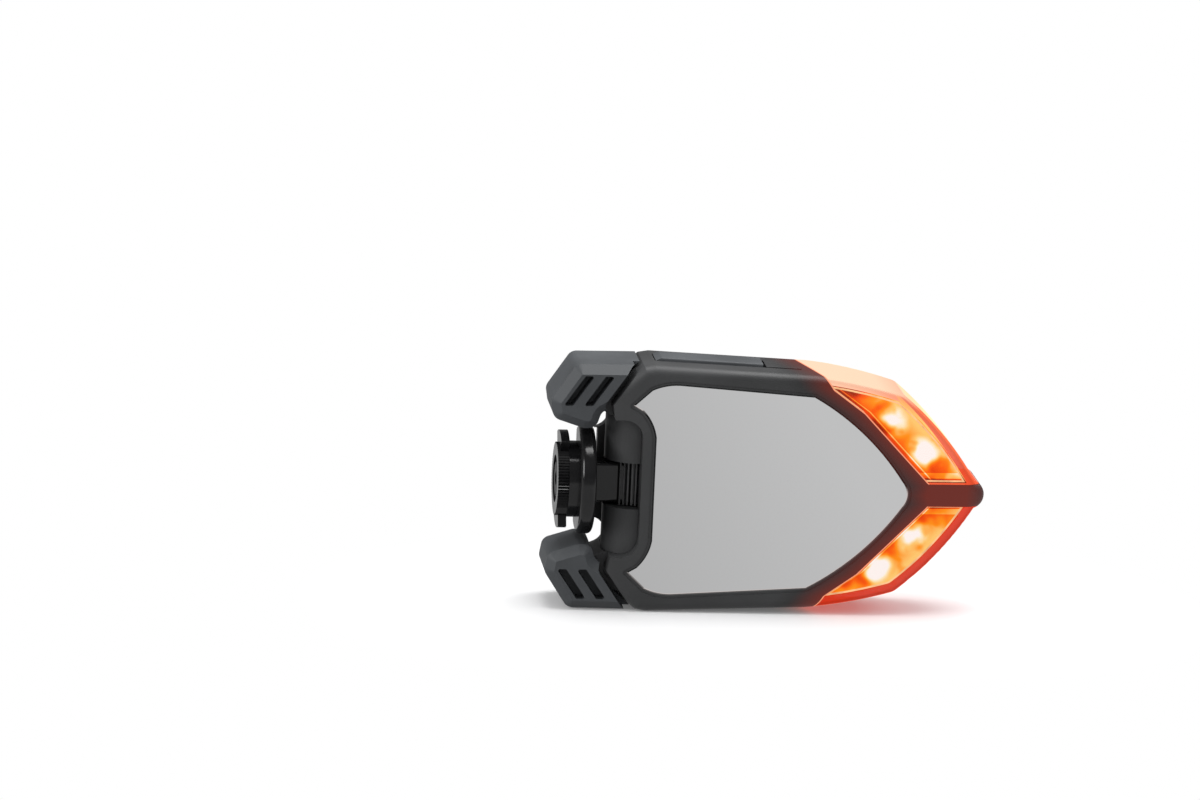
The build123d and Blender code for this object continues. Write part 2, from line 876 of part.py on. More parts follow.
def housing_screws():
    group = []
    for x, z in screw_spots():
        seat = back_y - screw_recess_depth
        head = post(x, z, screw_head_radius, seat, seat + screw_head_height)
        shank = post(x, z, screw_radius, boss_meeting_y - screw_length / 2, seat)
        group.append(head + shank - hex_socket(x, z, seat + screw_head_height))
    return Compound(children=group)


def build():
    upper = {
        "lens": lens(),
        "diffuser": diffuser(),
        "lamp_board": lamp_board(),
        "horn": horn(),
    }
    made = {
        "front_bezel": front_bezel(),
        "mirror_glass": mirror_glass(),
        "glass_pad": glass_pad(),
        "rear_cover": rear_cover(),
        "lamps_front": lamps(-1),
        "lamps_rear": lamps(1),
        "main_board": main_board(),
        "touch_switch": touch_switch(),
        "switch_membrane": membrane(),
        "battery_cell": cell(),
        "battery_pad": cell_foam(),
        "charge_socket": charge_socket(),
        "port_flap": port_flap(),
        "flap_anchor": flap_anchor(),
        "push_bar": push_bar(),
        "bar_pin": bar_pin(),
        "side_strip": strip_shape(0),
        "knuckle_frame": knuckle_frame(),
        "hinge_pin": hinge_pin(),
        "frame_screws": Compound(children=frame_screw_list()),
        "mount_arm": mount_arm(),
        "bayonet_cap": bayonet_cap(),
        "bayonet_screw": bayonet_screw(),
        "housing_screws": housing_screws(),
    }
    for name, shape in upper.items():
        made[name + "_upper"] = shape
        made[name + "_lower"] = mirrored(shape)
    return made


nodes = build()
boxes = [shape.bounding_box() for shape in nodes.values()]
middle_x = (min(b.min.X for b in boxes) + max(b.max.X for b in boxes)) / 2
middle_y = (min(b.min.Y for b in boxes) + max(b.max.Y for b in boxes)) / 2
stance = Pos(-middle_x, -middle_y, -min(b.min.Z for b in boxes))
print("stance", stance.position)
os.makedirs("parts", exist_ok=True)
for name, shape in nodes.items():
    export_step(stance * shape, f"parts/{name}.step")
    print(name, "written")
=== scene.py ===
import bpy
import bmesh
import json
import math
from mathutils import Matrix, Vector


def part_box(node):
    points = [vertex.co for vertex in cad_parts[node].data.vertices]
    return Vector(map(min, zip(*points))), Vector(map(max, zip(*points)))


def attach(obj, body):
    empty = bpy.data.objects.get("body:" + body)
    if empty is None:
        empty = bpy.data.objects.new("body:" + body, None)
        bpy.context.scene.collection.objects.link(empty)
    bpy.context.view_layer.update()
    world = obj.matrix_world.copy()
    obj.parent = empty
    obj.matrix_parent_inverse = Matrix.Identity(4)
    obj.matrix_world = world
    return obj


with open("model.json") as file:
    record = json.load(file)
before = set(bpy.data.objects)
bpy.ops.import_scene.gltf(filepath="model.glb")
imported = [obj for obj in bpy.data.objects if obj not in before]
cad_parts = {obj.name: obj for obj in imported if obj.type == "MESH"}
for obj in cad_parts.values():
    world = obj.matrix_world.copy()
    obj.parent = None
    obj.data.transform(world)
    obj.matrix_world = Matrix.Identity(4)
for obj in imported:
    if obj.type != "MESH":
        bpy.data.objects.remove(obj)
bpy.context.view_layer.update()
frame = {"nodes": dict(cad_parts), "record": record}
nodes = frame["nodes"]
print("frame loaded:", len(nodes), "nodes")

mm = 0.001
diagonal = math.sqrt(0.5)  # the share of a distance along x that is left square to a 45 degree line


# materials: one function per finish, all read Object coordinates
def newMaterial(name):
    material = bpy.data.materials.new(name)
    material.use_nodes = True
    tree = material.node_tree
    tree.nodes.clear()
    output = tree.nodes.new("ShaderNodeOutputMaterial")
    shader = tree.nodes.new("ShaderNodeBsdfPrincipled")
    tree.links.new(shader.outputs["BSDF"], output.inputs["Surface"])
    return material, tree, shader


def objectCoords(tree):
    return tree.nodes.new("ShaderNodeTexCoord").outputs["Object"]


def noiseNode(tree, coords, scale, detail, roughness=0.55):
    noise = tree.nodes.new("ShaderNodeTexNoise")
    noise.inputs["Scale"].default_value = scale
    noise.inputs["Detail"].default_value = detail
    noise.inputs["Roughness"].default_value = roughness
    tree.links.new(coords, noise.inputs["Vector"])
    return noise.outputs["Fac"]


def rampNode(tree, factor, stops):
    ramp = tree.nodes.new("ShaderNodeValToRGB")
    elements = ramp.color_ramp.elements
    while len(elements) < len(stops):
        elements.new(0.5)
    for element, (position, colour) in zip(elements, stops):
        element.position = position
        element.color = (*colour, 1.0)
    tree.links.new(factor, ramp.inputs["Fac"])
    return ramp.outputs["Color"]


def rangeNode(tree, value, low, high, toLow, toHigh):
    node = tree.nodes.new("ShaderNodeMapRange")
    sockets = ("From Min", "From Max", "To Min", "To Max")
    for socket, number in zip(sockets, (low, high, toLow, toHigh)):
        node.inputs[socket].default_value = number
    tree.links.new(value, node.inputs["Value"])
    return node.outputs["Result"]


def bumpNode(tree, height, strength, distance):
    bump = tree.nodes.new("ShaderNodeBump")
    bump.inputs["Strength"].default_value = strength
    bump.inputs["Distance"].default_value = distance
    tree.links.new(height, bump.inputs["Height"])
    return bump.outputs["Normal"]


def mathNode(tree, operation, first, second=0.0, third=0.0):
    node = tree.nodes.new("ShaderNodeMath")
    node.operation = operation
    for index, value in enumerate((first, second, third)):
        if isinstance(value, (int, float)):
            node.inputs[index].default_value = value
        else:
            tree.links.new(value, node.inputs[index])
    return node.outputs[0]


def sumNode(tree, first, second):
    return mathNode(tree, "ADD", first, second)


def lessNode(tree, first, second):
    return mathNode(tree, "SUBTRACT", first, second)


def timesNode(tree, first, second):
    return mathNode(tree, "MULTIPLY", first, second)


def mostNode(tree, first, second):
    return mathNode(tree, "MAXIMUM", first, second)


def slantNode(tree, first, second):
    # length of the slant over two sides at a right angle
    squares = sumNode(tree, timesNode(tree, first, first), timesNode(tree, second, second))
    return mathNode(tree, "SQRT", squares)


def mixNode(tree, factor, first, second):
    # two colours, each a socket or a plain triple, mixed by a socket or a number
    node = tree.nodes.new("ShaderNodeMix")
    node.data_type = "RGBA"
    sockets = [socket for socket in node.inputs if socket.type == "RGBA"]
    for socket, value in zip([node.inputs["Factor"], *sockets], (factor, first, second)):
        if isinstance(value, bpy.types.NodeSocket):
            tree.links.new(value, socket)
        elif isinstance(value, tuple):
            socket.default_value = (*value, 1.0)
        else:
            socket.default_value = value
    return next(socket for socket in node.outputs if socket.type == "RGBA")


def axisNode(tree, vector, axis):
    node = tree.nodes.new("ShaderNodeSeparateXYZ")
    tree.links.new(vector, node.inputs["Vector"])
    return node.outputs[axis]


def scaled(colour, share):
    return tuple(channel * share for channel in colour)


# the line between the casing and the lenses: points of distance back from the tip and of height
# from the mid-line, seen from the front. It runs towards the horns on its way to the back
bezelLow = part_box("front_bezel")[0]
coverLow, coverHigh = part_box("rear_cover")
midHeight = (coverLow.z + coverHigh.z) / 2
midDepth = (bezelLow.y + coverHigh.y) / 2
lensLine = {
    "points": [(16.2, 0.0), (15.2, 2.5), (24.7, 12.4), (34.0, 22.1), (42.7, 28.3), (48.4, 37.1)],
    "span": 60.0 * mm,
    "backShift": 0.258,
    "frontY": bezelLow.y,
}


def mirroredHeight(tree, coords):
    # height above or below the mid-line, never negative
    return mathNode(tree, "ABSOLUTE", lessNode(tree, axisNode(tree, coords, "Z"), midHeight))


def lensReach(tree, coords):
    # distance from the lens line, positive towards the tip
    top = lensLine["points"][-1][1] * mm
    stops = []
    for back, high in lensLine["points"]:
        level = back * mm / lensLine["span"]
        stops.append((high * mm / top, (level, level, level)))
    height = mathNode(tree, "DIVIDE", mirroredHeight(tree, coords), top)
    back = timesNode(tree, rampNode(tree, height, stops), lensLine["span"])
    depth = lessNode(tree, axisNode(tree, coords, "Y"), lensLine["frontY"])
    behind = timesNode(tree, depth, lensLine["backShift"])
    fromTip = lessNode(tree, axisNode(tree, coords, "X"), coverHigh.x)
    total = sumNode(tree, sumNode(tree, fromTip, back), behind)
    return timesNode(tree, total, diagonal)


# what the moulded finishes share: the bands of the noise that the tones and the roughness span
mouldGrain = {
    "cloudDetail": 3.0,
    "grainDetail": 2.0,
    "toneBand": (0.32, 0.68),
    "roughBand": (0.3, 0.7),
    "grainStrength": 0.5,
}
plastic = {
    "darkColour": (0.040, 0.041, 0.042),
    "paleColour": (0.054, 0.055, 0.057),
    "grainScale": 2600.0,
    "cloudScale": 45.0,
    "grainDepth": 0.05 * mm,
    "rough": (0.44, 0.58),
}
hornRubber = {
    "darkColour": (0.058, 0.063, 0.068),
    "paleColour": (0.080, 0.086, 0.093),
    "grainScale": 1800.0,
    "cloudScale": 60.0,
    "grainDepth": 0.04 * mm,
    "rough": (0.52, 0.66),
}
flapRubber = {
    "darkColour": (0.040, 0.041, 0.042),
    "paleColour": (0.050, 0.052, 0.053),
    "grainScale": 2200.0,
    "cloudScale": 80.0,
    "grainDepth": 0.03 * mm,
    "rough": (0.55, 0.68),
}


def mouldedPlastic(name, settings):
    # spark-eroded mould grain, with a broad uneven sheen over it
    material, tree, shader = newMaterial(name)
    coords = objectCoords(tree)
    cloud = noiseNode(tree, coords, settings["cloudScale"], mouldGrain["cloudDetail"])
    grain = noiseNode(tree, coords, settings["grainScale"], mouldGrain["grainDetail"])
    low, high = mouldGrain["toneBand"]
    stops = [(low, settings["darkColour"]), (high, settings["paleColour"])]
    tree.links.new(rampNode(tree, cloud, stops), shader.inputs["Base Color"])
    rough = rangeNode(tree, cloud, *mouldGrain["roughBand"], *settings["rough"])
    tree.links.new(rough, shader.inputs["Roughness"])
    normal = bumpNode(tree, grain, mouldGrain["grainStrength"], settings["grainDepth"])
    tree.links.new(normal, shader.inputs["Normal"])
    return material


spill = {
    "colour": (1.0, 0.090, 0.035),
    "strength": 0.13,
    "reach": 6.0 * mm,
    "fall": 1.5,
    "shadeReach": 9.0 * mm,
    "shadeShare": 0.95,
    "shadeColour": (0.006, 0.003, 0.003),
    "tipLength": 5.0 * mm,
    "tipShare": 0.25,
}


def addSpill(material, settings):
    # painted red glow: the light of the lit lenses is painted on the black plastic beside them, but
    # hardly on the end of the tip
    tree = material.node_tree
    shader = tree.nodes["Principled BSDF"]
    coords = objectCoords(tree)
    reach = lensReach(tree, coords)
    near = rangeNode(tree, reach, -settings["reach"], 0.0, 0.0, 1.0)
    tipFrom = coverHigh.x - settings["tipLength"]
    along = axisNode(tree, coords, "X")
    tip = rangeNode(tree, along, tipFrom, coverHigh.x, 1.0, settings["tipShare"])
    share = timesNode(tree, mathNode(tree, "POWER", near, settings["fall"]), tip)
    strength = timesNode(tree, share, settings["strength"])
    tree.links.new(strength, shader.inputs["Emission Strength"])
    shader.inputs["Emission Color"].default_value = (*settings["colour"], 1.0)
    plain = shader.inputs["Base Color"].links[0].from_socket
    # painted shade: beside the lenses the plastic's colour is darkened towards near black, less at
    # the tip
    shade = rangeNode(tree, reach, -settings["shadeReach"], 0.0, 0.0, settings["shadeShare"])
    darker = mixNode(tree, timesNode(tree, shade, tip), plain, settings["shadeColour"])
    tree.links.new(darker, shader.inputs["Base Color"])
    return material


# what the polished finishes share
polish = {
    "smearScale": 500.0,
    "smearDetail": 3.0,
    "smearBand": (0.3, 0.8),
    "paleShare": 1.6,
    "roughMore": 0.08,
    "waveScale": 140.0,
    "waveDetail": 1.0,
    "waveStrength": 0.12,
    "waveDepth": 0.05 * mm,
}
glossBlack = {"colour": (0.008, 0.008, 0.0085), "rough": 0.13, "specular": 0.5}
# painted highlight: a paler copy of the gloss black for the lit tops of the sleeve's ridges
paintedLitRidge = {"colour": (0.085, 0.085, 0.087), "rough": 0.36, "specular": 0.5}
# painted shade: a near-black, duller copy of the gloss black for the sleeve's grooves and ends
paintedShadeGroove = {"colour": (0.0015, 0.0015, 0.0015), "rough": 0.75, "specular": 0.15}


def glossyPlastic(name, settings):
    material, tree, shader = newMaterial(name)
    coords = objectCoords(tree)
    smear = noiseNode(tree, coords, polish["smearScale"], polish["smearDetail"])
    low, high = polish["smearBand"]
    stops = [(low, settings["colour"]), (high, scaled(settings["colour"], polish["paleShare"]))]
    tree.links.new(rampNode(tree, smear, stops), shader.inputs["Base Color"])
    roughest = settings["rough"] + polish["roughMore"]
    rough = rangeNode(tree, smear, low, high, settings["rough"], roughest)
    tree.links.new(rough, shader.inputs["Roughness"])
    wave = noiseNode(tree, coords, polish["waveScale"], polish["waveDetail"])
    normal = bumpNode(tree, wave, polish["waveStrength"], polish["waveDepth"])
    tree.links.new(normal, shader.inputs["Normal"])
    shader.inputs["Specular IOR Level"].default_value = settings["specular"]
    return material


mirrorLook = {
    "tint": (0.86, 0.862, 0.866),
    "dustScale": 1400.0,
    "dustDetail": 2.0,
    "toneBand": (0.2, 0.8),
    "dustShare": 0.985,
    "dustBand": (0.5, 0.8),
    "rough": (0.012, 0.036),
    "coat": 0.4,
    "coatRough": 0.01,
    "bevelFacing": (0.96, 0.85),
    "tipPull": 0.6,
    "litBand": (0.1, 0.4),
    "edgeLight": 0.5,
    "edgeColour": (1.0, 0.93, 0.91),
}


def silveredGlass(name, settings):
    material, tree, shader = newMaterial(name)
    coords = objectCoords(tree)
    dust = noiseNode(tree, coords, settings["dustScale"], settings["dustDetail"])
    low, high = settings["toneBand"]
    stops = [(low, settings["tint"]), (high, scaled(settings["tint"], settings["dustShare"]))]
    tree.links.new(rampNode(tree, dust, stops), shader.inputs["Base Color"])
    rough = rangeNode(tree, dust, *settings["dustBand"], *settings["rough"])
    tree.links.new(rough, shader.inputs["Roughness"])
    shader.inputs["Metallic"].default_value = 1.0
    shader.inputs["Coat Weight"].default_value = settings["coat"]
    shader.inputs["Coat Roughness"].default_value = settings["coatRough"]
    # painted highlight: the polished bevel round the rim is given light of its own below and at the
    # tip
    normal = tree.nodes.new("ShaderNodeNewGeometry").outputs["Normal"]
    facing = mathNode(tree, "ABSOLUTE", axisNode(tree, normal, "Y"))
    bevel = rangeNode(tree, facing, *settings["bevelFacing"], 0.0, 1.0)
    tipward = timesNode(tree, axisNode(tree, normal, "X"), settings["tipPull"])
    outward = lessNode(tree, tipward, axisNode(tree, normal, "Z"))
    lit = rangeNode(tree, outward, *settings["litBand"], 0.0, 1.0)
    strength = timesNode(tree, timesNode(tree, bevel, lit), settings["edgeLight"])
    tree.links.new(strength, shader.inputs["Emission Strength"])
    shader.inputs["Emission Color"].default_value = (*settings["edgeColour"], 1.0)
    return material


# what the two metals share
lathe = {
    "detail": 5.0,
    "toneBand": (0.25, 0.75),
    "darkShare": 0.8,
    "roughBand": (0.3, 0.7),
    "roughMore": 0.15,
    "strength": 0.2,
    "depth": 0.02 * mm,
}
steelLook = {"colour": (0.46, 0.46, 0.47), "rough": 0.3, "scratchScale": 1500.0}
blackScrewLook = {"colour": (0.035, 0.035, 0.036), "rough": 0.34, "scratchScale": 1800.0}


def turnedMetal(name, settings):
    material, tree, shader = newMaterial(name)
    coords = objectCoords(tree)
    scratch = noiseNode(tree, coords, settings["scratchScale"], lathe["detail"])
    low, high = lathe["toneBand"]
    stops = [(low, scaled(settings["colour"], lathe["darkShare"])), (high, settings["colour"])]
    tree.links.new(rampNode(tree, scratch, stops), shader.inputs["Base Color"])
    roughest = settings["rough"] + lathe["roughMore"]
    rough = rangeNode(tree, scratch, *lathe["roughBand"], settings["rough"], roughest)
    tree.links.new(rough, shader.inputs["Roughness"])
    normal = bumpNode(tree, scratch, lathe["strength"], lathe["depth"])
    tree.links.new(normal, shader.inputs["Normal"])
    shader.inputs["Metallic"].default_value = 1.0
    return material


# pieces inside the casing: two close tones and a light grain. For each slot the material's name,
# its colour, its roughness and the scale of its grain
hiddenGrain = {
    "detail": 3.0,
    "band": (0.3, 0.7),
    "darkShare": 0.85,
    "roughMore": 0.1,
    "strength": 0.2,
    "depth": 0.03 * mm,
}
hiddenLooks = {
    "pad": ("foam", (0.08, 0.08, 0.08), 0.85, 1500.0),
    "board": ("boardGreen", (0.03, 0.16, 0.07), 0.4, 700.0),
    "white_board": ("boardWhite", (0.82, 0.80, 0.76), 0.45, 700.0),
    "cell": ("cellFoil", (0.45, 0.47, 0.50), 0.35, 900.0),
    "lamp": ("lampResin", (1.0, 0.82, 0.42), 0.25, 900.0),
}


def plainPart(name, colour, rough, scale):
    material, tree, shader = newMaterial(name)
    coords = objectCoords(tree)
    grain = noiseNode(tree, coords, scale, hiddenGrain["detail"])
    low, high = hiddenGrain["band"]
    stops = [(low, scaled(colour, hiddenGrain["darkShare"])), (high, colour)]
    tree.links.new(rampNode(tree, grain, stops), shader.inputs["Base Color"])
    roughness = rangeNode(tree, grain, low, high, rough, rough + hiddenGrain["roughMore"])
    tree.links.new(roughness, shader.inputs["Roughness"])
    normal = bumpNode(tree, grain, hiddenGrain["strength"], hiddenGrain["depth"])
    tree.links.new(normal, shader.inputs["Normal"])
    return material


# the lamps' places, which the glow of the diffusers follows: two spots in each panel, by their x
# and their height from the mid-line. The lower pair shines further from the tip and the mid-line
lampPlaces = {
    "inset": 2.2 * mm,
    "tipHeight": 11.0 * mm,
    "lowerShift": (-1.9 * mm, 0.9 * mm),
}
lampLow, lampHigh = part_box("lamps_front")
lampSpots = [
    (lampLow.x + lampPlaces["inset"], lampHigh.z - midHeight - lampPlaces["inset"]),
    (lampHigh.x - lampPlaces["inset"], lampPlaces["tipHeight"]),
]
diffuserLow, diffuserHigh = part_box("diffuser_upper")
diffuserInner = diffuserLow.z - midHeight
diffuserOuter = diffuserHigh.z - midHeight
glow = {
    "spotCore": 0.9 * mm,
    "spotSize": 4.3 * mm,
    "spotStretch": 0.72,
    "spotFall": 1.6,
    "spotShare": 0.90,
    "fieldWidth": 8.5 * mm,
    "fieldLevels": (0.24, 0.70),
    "patchScale": 170.0,
    "patchDetail": 1.5,
    "patchBand": (0.45, 0.66),
    "patchShare": 0.24,
    "wobbleBand": (0.3, 0.7),
    "wobble": 0.55 * mm,
    "darkBand": 0.9 * mm,
    "darkShade": 0.55,
    "barTo": 2.4 * mm,
    "barShare": 0.22,
    "endLength": 4.5 * mm,
    "endShade": 0.35,
    "lowerEnd": -0.5,
    "ribFrom": 1.75 * mm,
    "ribHalf": 0.16 * mm,
    "ribShare": 0.30,
    "ribShade": -0.10,
    "strength": 1.0,
    "stops": [
        (0.00, (0.20, 0.016, 0.004)),
        (0.16, (0.72, 0.045, 0.006)),
        (0.34, (0.97, 0.130, 0.008)),
        (0.52, (1.00, 0.320, 0.015)),
        (0.70, (1.00, 0.640, 0.180)),
        (0.86, (1.00, 0.930, 0.640)),
        (0.97, (1.00, 1.000, 0.960)),
    ],
    "baseColour": (0.12, 0.014, 0.004),
    "rough": 0.5,
    "specular": 0.2,
}


def spotDistance(tree, coords, spot, stretch):
    # distance to a lamp in the plane of its board, shorter along the lens line than across it
    lower = mathNode(tree, "LESS_THAN", axisNode(tree, coords, "Z"), midHeight)
    shiftX, shiftHeight = lampPlaces["lowerShift"]
    spotX = mathNode(tree, "MULTIPLY_ADD", lower, shiftX, spot[0])
    spotHeight = mathNode(tree, "MULTIPLY_ADD", lower, shiftHeight, spot[1])
    ahead = lessNode(tree, axisNode(tree, coords, "X"), spotX)
    higher = lessNode(tree, mirroredHeight(tree, coords), spotHeight)
    along = timesNode(tree, lessNode(tree, ahead, higher), stretch * diagonal)
    across = timesNode(tree, sumNode(tree, ahead, higher), diagonal)
    return slantNode(tree, along, across)


def lampLevel(tree, coords, reach, patches, settings):
    # bright spots at the lamps, over a field that is paler away from the casing
    swing = settings["wobble"]
    wobble = rangeNode(tree, patches, *settings["wobbleBand"], -swing, swing)
    spots = [spotDistance(tree, coords, spot, settings["spotStretch"]) for spot in lampSpots]
    nearest = sumNode(tree, mathNode(tree, "MINIMUM", *spots), wobble)
    rise = rangeNode(tree, nearest, settings["spotCore"], settings["spotSize"], 1.0, 0.0)
    spot = mathNode(tree, "POWER", rise, settings["spotFall"])
    field = rangeNode(tree, reach, 0.0, settings["fieldWidth"], *settings["fieldLevels"])
    dark = rangeNode(tree, patches, *settings["patchBand"], 0.0, -settings["patchShare"])
    spotted = sumNode(tree, dark, timesNode(tree, spot, settings["spotShare"]))
    return sumNode(tree, field, spotted)


def wallLevel(tree, coords, settings):
    # painted shade and light in the glow: a dark strip and a pale bar beside the spine, and the end
    # at the side of the casing, which is darker in the upper panel and paler in the lower one
    height = mirroredHeight(tree, coords)
    fromSpine = lessNode(tree, height, diffuserInner)
    strip = rangeNode(tree, fromSpine, 0.0, settings["darkBand"], settings["darkShade"], 0.0)
    middle = (settings["darkBand"] + settings["barTo"]) / 2
    half = (settings["barTo"] - settings["darkBand"]) / 2
    bar = mathNode(tree, "COMPARE", fromSpine, middle, half)
    endFrom = diffuserOuter - settings["endLength"]
    end = rangeNode(tree, height, endFrom, diffuserOuter, 0.0, settings["endShade"])
    upper = mathNode(tree, "GREATER_THAN", axisNode(tree, coords, "Z"), midHeight)
    lowerEnd = settings["lowerEnd"]
    end = timesNode(tree, end, mathNode(tree, "MULTIPLY_ADD", upper, 1.0 - lowerEnd, lowerEnd))
    return lessNode(tree, timesNode(tree, bar, settings["barShare"]), sumNode(tree, strip, end))


def ribLevel(tree, reach, settings):
    # a thin rib along the casing painted bright, and painted shade between the two
    rib = mathNode(tree, "COMPARE", reach, settings["ribFrom"], settings["ribHalf"])
    inside = settings["ribFrom"] - settings["ribHalf"]
    shadow = rangeNode(tree, reach, inside, settings["ribFrom"], settings["ribShade"], 0.0)
    return sumNode(tree, timesNode(tree, rib, settings["ribShare"]), shadow)


def litDiffuser(name, settings):
    material, tree, shader = newMaterial(name)
    coords = objectCoords(tree)
    reach = lensReach(tree, coords)
    patches = noiseNode(tree, coords, settings["patchScale"], settings["patchDetail"])
    lamps = lampLevel(tree, coords, reach, patches, settings)
    walls = wallLevel(tree, coords, settings)
    ribs = ribLevel(tree, reach, settings)
    total = sumNode(tree, sumNode(tree, lamps, walls), ribs)
    colour = rampNode(tree, total, settings["stops"])
    tree.links.new(colour, shader.inputs["Emission Color"])
    shader.inputs["Emission Strength"].default_value = settings["strength"]
    shader.inputs["Base Color"].default_value = (*settings["baseColour"], 1.0)
    shader.inputs["Roughness"].default_value = settings["rough"]
    shader.inputs["Specular IOR Level"].default_value = settings["specular"]
    return material


lensLook = {
    "edgeStops": [
        (0.10, (0.66, 0.040, 0.012)),
        (0.48, (0.72, 0.045, 0.013)),
        (0.60, (0.92, 0.140, 0.055)),
        (0.84, (0.96, 0.190, 0.080)),
        (0.93, (0.97, 0.610, 0.430)),
    ],
    "edgeFacing": (0.97, 0.55),
    "alphas": (0.06, 0.97),
    "rimStrength": 0.85,
    "farShare": 0.97,
    "shade": 0.75,
    "silhouetteColour": (1.0, 0.62, 0.16),
    "silhouetteBlend": 0.5,
    "silhouetteBand": (0.90, 0.97),
    "lineColour": (1.0, 0.34, 0.19),
    "lineWidth": 0.45 * mm,
    "lineCore": 0.27 * mm,
    "rough": 0.06,
    "ior": 1.12,
    "specular": 0.15,
    "rippleScale": 420.0,
    "rippleDetail": 1.0,
    "rippleStrength": 0.08,
    "rippleDepth": 0.05 * mm,
}


def litLens(name, settings):
    # clear moulded lens: its flat front hardly tints what lies behind it, its bent edges fill with
    # red light, paler towards the top, and a thin bright line runs along the casing
    material, tree, shader = newMaterial(name)
    coords = objectCoords(tree)
    ripple = noiseNode(tree, coords, settings["rippleScale"], settings["rippleDetail"])
    bump = bumpNode(tree, ripple, settings["rippleStrength"], settings["rippleDepth"])
    tree.links.new(bump, shader.inputs["Normal"])
    normal = tree.nodes.new("ShaderNodeNewGeometry").outputs["Normal"]
    turned = axisNode(tree, normal, "Y")
    facing = mathNode(tree, "ABSOLUTE", turned)
    edge = rangeNode(tree, facing, *settings["edgeFacing"], 0.0, 1.0)
    sky = rangeNode(tree, axisNode(tree, coords, "Z"), coverLow.z, coverHigh.z, 0.0, 1.0)
    reach = lensReach(tree, coords)
    line = rangeNode(tree, reach, settings["lineCore"], settings["lineWidth"], 1.0, 0.0)
    # painted highlight: a yellow tint on the lens's glowing colour where its surface is seen
    # edge-on
    weight = tree.nodes.new("ShaderNodeLayerWeight")
    weight.inputs["Blend"].default_value = settings["silhouetteBlend"]
    outline = rangeNode(tree, weight.outputs["Facing"], *settings["silhouetteBand"], 0.0, 1.0)
    tinted = rampNode(tree, sky, settings["edgeStops"])
    rim = mixNode(tree, outline, tinted, settings["silhouetteColour"])
    colour = mixNode(tree, line, rim, settings["lineColour"])
    # the wall on the far side, seen from the inside, is filled with light too
    depth = lessNode(tree, axisNode(tree, coords, "Y"), midDepth)
    inward = mathNode(tree, "LESS_THAN", timesNode(tree, turned, depth), 0.0)
    far = timesNode(tree, inward, settings["farShare"])
    shown = mostNode(tree, mostNode(tree, edge, line), far)
    darker = mixNode(tree, settings["shade"], colour, (0.0, 0.0, 0.0))
    tree.links.new(darker, shader.inputs["Base Color"])
    tree.links.new(colour, shader.inputs["Emission Color"])
    strength = timesNode(tree, shown, settings["rimStrength"])
    tree.links.new(strength, shader.inputs["Emission Strength"])
    alpha = rangeNode(tree, shown, 0.0, 1.0, *settings["alphas"])
    tree.links.new(alpha, shader.inputs["Alpha"])
    shader.inputs["Roughness"].default_value = settings["rough"]
    shader.inputs["IOR"].default_value = settings["ior"]
    shader.inputs["Specular IOR Level"].default_value = settings["specular"]
    return material


glossMaterial = glossyPlastic("glossBlack", glossBlack)
ridgeMaterial = glossyPlastic("paintedLitRidge", paintedLitRidge)
grooveMaterial = glossyPlastic("paintedShadeGroove", paintedShadeGroove)

finishes = {
    "housing": addSpill(mouldedPlastic("housingPlastic", plastic), spill),
    "horn_rubber": mouldedPlastic("hornRubber", hornRubber),
    "flap_rubber": mouldedPlastic("flapRubber", flapRubber),
    "gloss_black": glossMaterial,
    "mirror": silveredGlass("silveredGlass", mirrorLook),
    "steel": turnedMetal("turnedSteel", steelLook),
    "black_screw": turnedMetal("blackScrew", blackScrewLook),
    "diffuser": litDiffuser("litDiffuser", glow),
    "lens": litLens("litLens", lensLook),
}
for slot, look in hiddenLooks.items():
    finishes[slot] = plainPart(*look)
for part in frame["record"]["subparts"]:
    mesh = nodes[part["node"]].data
    mesh.materials.clear()
    mesh.materials.append(finishes[part["material_slot"]])


# added pieces
def finishPiece(name, bm, material, body):
    bmesh.ops.recalc_face_normals(bm, faces=bm.faces)
    mesh = bpy.data.meshes.new(name)
    bm.to_mesh(mesh)
    bm.free()
    mesh.materials.append(material)
    piece = bpy.data.objects.new(name, mesh)
    bpy.context.scene.collection.objects.link(piece)
    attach(piece, body)
    return piece


# raised frame round the flat front of each diffuser, and round the part of its sloping back that
# stands out furthest. It shows through the lens and stays in the gap under it
chamberFrame = {
    "barWidth": 0.45 * mm,
    "barHeight": 0.2 * mm,
    "facing": 0.9,
    "reach": 0.6 * mm,
    "weldGap": 0.001 * mm,
    "flatAngle": 1.0,
}
frameGlow = {
    "colour": (1.0, 0.66, 0.33),
    "dimShare": 0.6,
    "grainScale": 260.0,
    "grainDetail": 2.0,
    "band": (0.30, 0.62),
    "strength": 1.0,
    "baseColour": (0.20, 0.05, 0.015),
    "rough": 0.4,
}


# painted glow: the frame gives off warm light of its own, dimmer in patches
def litFrame(name, settings):
    material, tree, shader = newMaterial(name)
    coords = objectCoords(tree)
    uneven = noiseNode(tree, coords, settings["grainScale"], settings["grainDetail"])
    low, high = settings["band"]
    stops = [(low, scaled(settings["colour"], settings["dimShare"])), (high, settings["colour"])]
    tree.links.new(rampNode(tree, uneven, stops), shader.inputs["Emission Color"])
    shader.inputs["Emission Strength"].default_value = settings["strength"]
    shader.inputs["Base Color"].default_value = (*settings["baseColour"], 1.0)
    shader.inputs["Roughness"].default_value = settings["rough"]
    return material


